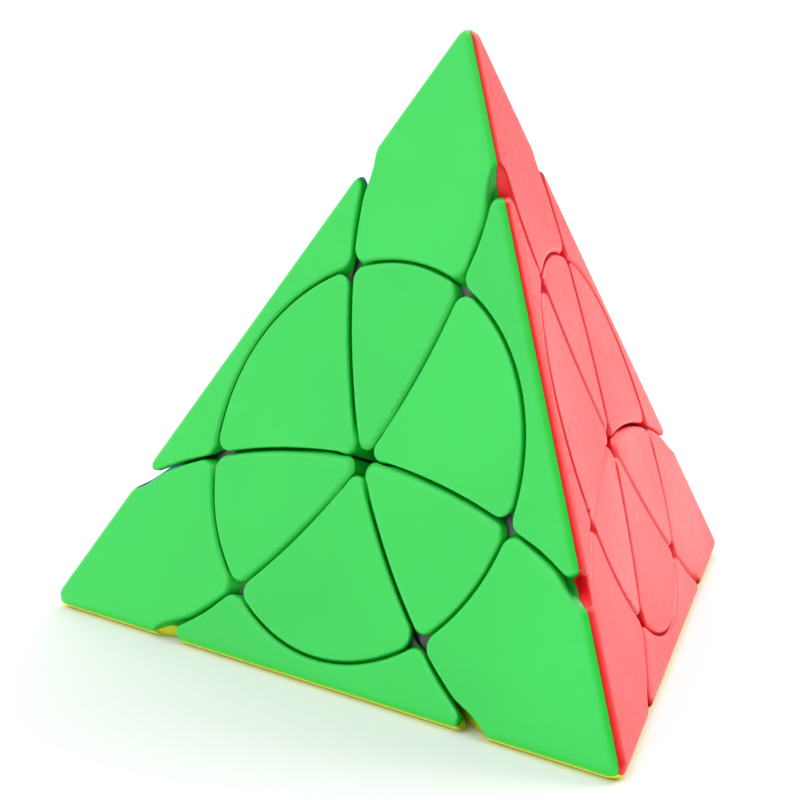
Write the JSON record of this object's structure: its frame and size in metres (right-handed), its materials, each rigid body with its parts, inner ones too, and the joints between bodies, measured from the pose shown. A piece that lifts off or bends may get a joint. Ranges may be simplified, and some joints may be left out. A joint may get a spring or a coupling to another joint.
{
  "type": "pyramid twisty puzzle",
  "caption": "Tetrahedral twisty puzzle: corner layers and petal discs turn about four axes on a sprung ball core inside.",
  "frame": {"origin": "centre of the ball core, which is the centre of the tetrahedron", "axes": "+Z through the top corner and square to the yellow base; +X along the front edge, from the left corner to the right corner; +Y away from the green face, so the green face looks towards -Y and up"},
  "size_m": [0.0934, 0.0815, 0.077],
  "materials": {
    "green_plastic": "satin moulded",
    "red_plastic": "satin moulded",
    "blue_plastic": "satin moulded",
    "yellow_plastic": "satin moulded",
    "grey_inner_plastic": "matte moulded",
    "steel": "bright"
  },
  "bodies": {
    "lower_body": {"edge_front_green": "green_plastic", "corner_left_green": "green_plastic", "corner_right_green": "green_plastic", "edge_right_back_red": "red_plastic", "corner_right_red": "red_plastic", "corner_back_red": "red_plastic", "edge_left_back_blue": "blue_plastic", "corner_back_blue": "blue_plastic", "corner_left_blue": "blue_plastic", "corner_left_yellow": "yellow_plastic", "edge_right_back_yellow": "yellow_plastic", "corner_back_yellow": "yellow_plastic", "edge_front_yellow": "yellow_plastic", "corner_right_yellow": "yellow_plastic", "edge_left_back_yellow": "yellow_plastic", "screw_top": "steel", "spring_top": "steel", "screw_left": "steel", "spring_left": "steel", "screw_right": "steel", "spring_right": "steel", "screw_back": "steel", "spring_back": "steel", "core_ball": "grey_inner_plastic"},
    "top_layer": {"corner_top_green": "green_plastic", "edge_top_right_green": "green_plastic", "edge_top_left_green": "green_plastic", "corner_top_red": "red_plastic", "edge_top_back_red": "red_plastic", "edge_top_right_red": "red_plastic", "corner_top_blue": "blue_plastic", "edge_top_left_blue": "blue_plastic", "edge_top_back_blue": "blue_plastic"},
    "green_disc_lower": {"petal_green_edge_front": "green_plastic", "petal_green_corner_left": "green_plastic", "petal_green_corner_right": "green_plastic"},
    "green_disc_upper": {"petal_green_corner_top": "green_plastic", "petal_green_edge_top_right": "green_plastic", "petal_green_edge_top_left": "green_plastic"},
    "red_disc_lower": {"petal_red_edge_right_back": "red_plastic", "petal_red_corner_right": "red_plastic", "petal_red_corner_back": "red_plastic"},
    "red_disc_upper": {"petal_red_corner_top": "red_plastic", "petal_red_edge_top_back": "red_plastic", "petal_red_edge_top_right": "red_plastic"},
    "blue_disc_lower": {"petal_blue_edge_left_back": "blue_plastic", "petal_blue_corner_back": "blue_plastic", "petal_blue_corner_left": "blue_plastic"},
    "blue_disc_upper": {"petal_blue_corner_top": "blue_plastic", "petal_blue_edge_top_left": "blue_plastic", "petal_blue_edge_top_back": "blue_plastic"},
    "yellow_disc": {"petal_yellow_corner_left": "yellow_plastic", "petal_yellow_edge_right_back": "yellow_plastic", "petal_yellow_corner_back": "yellow_plastic", "petal_yellow_edge_front": "yellow_plastic", "petal_yellow_corner_right": "yellow_plastic", "petal_yellow_edge_left_back": "yellow_plastic"}
  },
  "joints": [
    {"name": "top_layer_turn", "type": "hinge", "parent": "lower_body", "child": "top_layer", "pos_m": [0, 0, 0], "axis": [0, 0, 1], "range_deg": [-120, 120]},
    {"name": "green_disc_turn", "type": "hinge", "parent": "lower_body", "child": "green_disc_lower", "pos_m": [0, 0, 0], "axis": [0, -0.9428, 0.3333], "continuous": true},
    {"name": "red_disc_turn", "type": "hinge", "parent": "lower_body", "child": "red_disc_lower", "pos_m": [0, 0, 0], "axis": [0.8165, 0.4714, 0.3333], "continuous": true},
    {"name": "blue_disc_turn", "type": "hinge", "parent": "lower_body", "child": "blue_disc_lower", "pos_m": [0, 0, 0], "axis": [-0.8165, 0.4714, 0.3333], "continuous": true},
    {"name": "green_disc_upper_turn", "type": "hinge", "parent": "top_layer", "child": "green_disc_upper", "pos_m": [0, 0, 0], "axis": [0, -0.9428, 0.3333], "continuous": true},
    {"name": "red_disc_upper_turn", "type": "hinge", "parent": "top_layer", "child": "red_disc_upper", "pos_m": [0, 0, 0], "axis": [0.8165, 0.4714, 0.3333], "continuous": true},
    {"name": "blue_disc_upper_turn", "type": "hinge", "parent": "top_layer", "child": "blue_disc_upper", "pos_m": [0, 0, 0], "axis": [-0.8165, 0.4714, 0.3333], "continuous": true},
    {"name": "yellow_disc_turn", "type": "hinge", "parent": "lower_body", "child": "yellow_disc", "pos_m": [0, 0, 0], "axis": [0, 0, -1], "continuous": true}
  ],
  "couplings": [
    {"joint": "green_disc_upper_turn", "follows": "green_disc_turn", "ratio": 1},
    {"joint": "red_disc_upper_turn", "follows": "red_disc_turn", "ratio": 1},
    {"joint": "blue_disc_upper_turn", "follows": "blue_disc_turn", "ratio": 1}
  ]
}
